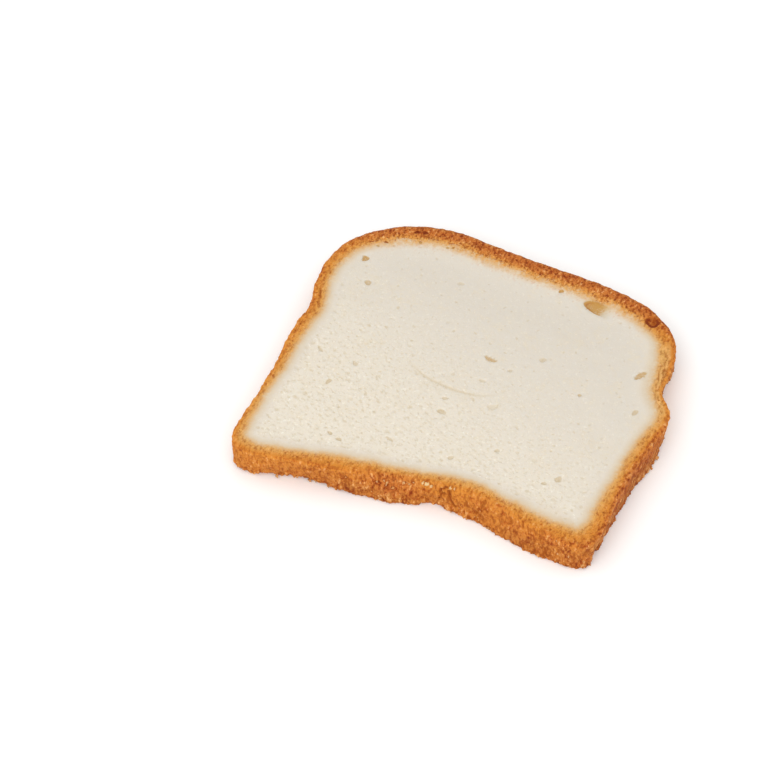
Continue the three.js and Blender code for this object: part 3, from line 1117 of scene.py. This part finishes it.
looseCrumbs = {
    "crumbSize": 0.42,        # half width of a middling crumb
    "sides": 7,
    "rings": 5,
    "lumpiness": 0.95,
    "lumpScale": 1.6,
    "stretch": ((0.55, 0.7, 0.4), (1.3, 1.5, 0.9)),
    "toasted": srgb(198, 122, 50),
    "pale": srgb(230, 196, 142),
    "seed": 5,
    # x, y, z, share of the middling size, and tone from toasted to pale.
    "places": ((-12.2, -47.1, 7.4, .9, .6), (-9.2, -46.6, 7.4, 1.5, .45), (-8.3, -46.4, 6.1, 1.4, .35),
               (-9.9, -46.7, 8.0, .8, .5), (-4.7, -45.9, 8.8, .9, .5), (-1.7, -45.5, 9.2, .8, .6),
               (-3.1, -45.7, 8.0, .8, .5), (1.2, -45.3, 9.7, .9, .8), (2.3, -45.1, 9.4, 1.5, .95),
               (3.3, -45.0, 8.9, 1.0, .7), (8.8, -44.6, 10.2, 1.1, .9), (9.9, -44.6, 10.3, .7, .7),
               (21.3, -46.2, .5, 1.3, .4), (22.2, -46.4, .6, 1.0, .5), (57.3, -5.3, .7, 1.2, .4),
               (56.4, -9.7, .6, 1.1, .3), (-42.0, -52.4, .6, 1.5, .4), (-32.4, -51.3, .5, 1.2, .4),
               (-31.0, -51.0, .5, .9, .5), (-27.0, -50.4, .5, .9, .4), (-36.0, -51.8, .5, .8, .4)),
    # Others strewn: how many, and between which shares of the way down the wall.
    "lowOnBase": (60, 0.82, 0.95),
    "onBase": (22, 0.05, 0.8),
    "elsewhere": (18, 0.1, 0.93),
    "standsOut": 0.35,        # share of its radius that a crumb's middle lies outside the crust
    "clear": 1.55,            # least height of that middle over the floor, in radii
    "sizes": (0.3, 0.8),
    "tones": (-0.1, 0.55),
}


# Where crumbs stick to the crust: the named places, then others strewn over its rows.
def crumbSeats():
    rng = random.Random(looseCrumbs["seed"])
    rows, columns = wallPoints.shape[:2]
    turns = turnsOf(outlineAngles)
    base = np.where((turns > 224) & (turns < 318))[0]
    seats = []
    for x, y, z, size, tone in looseCrumbs["places"]:
        gaps = np.abs(wallPoints - (x, y, z)).sum(2)
        j, i = np.unravel_index(gaps.argmin(), gaps.shape)
        seats.append((j, i, size, tone))
    for name, choice in (("lowOnBase", base), ("onBase", base), ("elsewhere", np.arange(columns))):
        count, *rowRange = looseCrumbs[name]
        for _ in range(count):
            j = int(rng.uniform(*rowRange) * (rows - 1))
            size = between(looseCrumbs["sizes"], rng.random() ** 2)
            seats.append((j, rng.choice(choice.tolist()), size, rng.uniform(*looseCrumbs["tones"])))
    mesh = bpy.data.meshes.new("crumbSeats")
    places = []
    for j, i, size, _ in seats:
        radius = size * looseCrumbs["crumbSize"]
        x, y, z = wallPoints[j, i]
        out = looseCrumbs["standsOut"] * radius
        height = max(z, looseCrumbs["clear"] * radius)
        places.append((x + normals[i][0] * out, y + normals[i][1] * out, height))
    mesh.from_pydata([[c * mm for c in p] for p in places], [], [])
    setValues(mesh, size=[seat[2] for seat in seats], tone=[seat[3] for seat in seats])
    return mesh


# A lumpy crumb set on every seat, each turned and stretched its own way.
def crumbTree(material):
    tree = bpy.data.node_groups.new("stickCrumbs", "GeometryNodeTree")
    for name, way, kind in (("Geometry", "INPUT", "Geometry"), ("crumbSize", "INPUT", "Float"),
                            ("lumpiness", "INPUT", "Float"), ("seed", "INPUT", "Int"),
                            ("Geometry", "OUTPUT", "Geometry")):
        tree.interface.new_socket(name, in_out=way, socket_type="NodeSocket" + kind)
    steps = Nodes(tree)
    given = steps.add("NodeGroupInput").outputs
    place = steps.add("GeometryNodeInputPosition").outputs[0]
    ball = steps.add("GeometryNodeMeshUVSphere",
                     {"Segments": looseCrumbs["sides"], "Rings": looseCrumbs["rings"]})
    lumps = steps.add("ShaderNodeTexNoise", {"Scale": looseCrumbs["lumpScale"], "Vector": place})
    rise = steps.times(steps.maths("SUBTRACT", lumps.outputs["Fac"], 0.5), given["lumpiness"])
    push = steps.add("ShaderNodeVectorMath", {0: place, "Scale": steps.times(rise, 4.0)}, operation="SCALE")
    shaped = steps.add("GeometryNodeSetPosition",
                       {"Geometry": ball.outputs["Mesh"], "Offset": push.outputs[0]})
    smoothed = steps.add("GeometryNodeSetShadeSmooth", {"Geometry": shaped.outputs[0]})
    turn, stretch = (
        steps.add("FunctionNodeRandomValue", {"Min": low, "Max": high, "Seed": given["seed"]},
                  data_type="FLOAT_VECTOR").outputs["Value"]
        for low, high in (((0.0, 0.0, 0.0), (tau, tau, tau)), looseCrumbs["stretch"]))
    named = steps.add("GeometryNodeInputNamedAttribute", {"Name": "size"}, data_type="FLOAT")
    size = steps.times(named.outputs["Attribute"], given["crumbSize"])
    scaled = steps.add("ShaderNodeVectorMath", {0: stretch, "Scale": size}, operation="SCALE")
    placed = steps.add("GeometryNodeInstanceOnPoints", {
        "Points": given["Geometry"], "Instance": smoothed.outputs[0],
        "Rotation": turn, "Scale": scaled.outputs[0]})
    real = steps.add("GeometryNodeRealizeInstances", {"Geometry": placed.outputs[0]})
    coated = steps.add("GeometryNodeSetMaterial", {"Geometry": real.outputs[0], "Material": material})
    steps.add("NodeGroupOutput", {0: coated.outputs[0]})
    return tree


def makeCrumbLook():
    material, tree, shader = newMaterial("looseCrumb")
    look = Textures(tree)
    tone = look.maths("ADD", look.attribute("tone"), look.times(look.noise(0.4), 0.8))
    look.put(shader["Base Color"], look.mixed(look.stepped(tone, 0.1, 0.95), looseCrumbs["toasted"],
                                              looseCrumbs["pale"]))
    shader["Roughness"].default_value = 0.9
    shader["Specular IOR Level"].default_value = 0.3
    return material


def makeLooseCrumbs():
    seats = show("crumbSeats", crumbSeats())
    tree = crumbTree(makeCrumbLook())
    modifier = seats.modifiers.new("stickCrumbs", "NODES")
    modifier.node_group = tree
    given = {"crumbSize": looseCrumbs["crumbSize"] * mm, "lumpiness": looseCrumbs["lumpiness"],
             "seed": looseCrumbs["seed"]}
    for socket in tree.interface.items_tree:
        if socket.in_out == "INPUT" and socket.name in given:
            modifier[socket.identifier] = given[socket.name]
    graph = bpy.context.evaluated_depsgraph_get()
    mesh = bpy.data.meshes.new_from_object(seats.evaluated_get(graph), depsgraph=graph)
    mesh.name = "looseCrumbs"
    bpy.data.objects.remove(seats)
    print("loose crumbs", len(mesh.polygons), "faces")
    return show("looseCrumbs", mesh)


crumbs = makeLooseCrumbs()

studio = {
    "floorColour": srgb(252, 252, 251),
    "worldStrength": 0.94,
    "floorSize": 6.0,
    # Place, size and power of each lamp.
    "key": ((0.10, -0.66, 0.62), 0.8, 3.4),
    "fill": ((-0.7, -0.2, 0.8), 0.9, 0.4),
}

viewpoint = {
    "azimuth": 21.99,
    "elevation": 46.53,
    "roll": -1.01,
    "distance": 836.6 * mm,
    "lens": 135.0,
    "sensor": 36.0,
    "clip": (0.05, 50.0),
    "aim": (-22.05 * mm, -14.84 * mm, thickness * mm),
}


def makeFloor():
    half = studio["floorSize"] / 2
    mesh = bpy.data.meshes.new("floor")
    corners = [(-half, -half, 0), (half, -half, 0), (half, half, 0), (-half, half, 0)]
    mesh.from_pydata(corners, [], [(0, 1, 2, 3)])
    material, _, shader = newMaterial("floorPaper")
    shader["Base Color"].default_value = studio["floorColour"]
    shader["Roughness"].default_value = 0.95
    shader["Specular IOR Level"].default_value = 0.1
    mesh.materials.append(material)
    show("floor", mesh)


def makeLamp(name):
    place, size, power = studio[name]
    data = bpy.data.lights.new(name, "AREA")
    data.shape = "DISK"
    data.size = size
    data.energy = power
    lamp = show(name, data)
    lamp.location = place
    lamp.rotation_mode = "QUATERNION"
    lamp.rotation_quaternion = Vector(place).to_track_quat("Z", "Y")
    lamp.visible_camera = False


def makeWorld():
    world = bpy.data.worlds.new("studioAir")
    bpy.context.scene.world = world
    world.use_nodes = True
    background = world.node_tree.nodes["Background"]
    background.inputs["Color"].default_value = (1.0, 1.0, 1.0, 1.0)
    background.inputs["Strength"].default_value = studio["worldStrength"]


def makeCamera():
    data = bpy.data.cameras.new("camera")
    data.lens = viewpoint["lens"]
    data.sensor_width = viewpoint["sensor"]
    data.clip_start, data.clip_end = viewpoint["clip"]
    camera = show("camera", data)
    azimuth, elevation, roll = (radians(viewpoint[k]) for k in ("azimuth", "elevation", "roll"))
    camera.matrix_world = (Matrix.Translation(viewpoint["aim"]) @ Matrix.Rotation(azimuth, 4, "Z")
                           @ Matrix.Rotation(pi / 2 - elevation, 4, "X")
                           @ Matrix.Translation((0, 0, viewpoint["distance"]))
                           @ Matrix.Rotation(roll, 4, "Z"))
    bpy.context.scene.camera = camera


makeFloor()
makeWorld()
makeLamp("key")
makeLamp("fill")
makeCamera()
bpy.context.scene.view_settings.view_transform = "Standard"
print("studio")

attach(breadSlice, "root")
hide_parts("bread_slice")
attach(crumbs, "root")
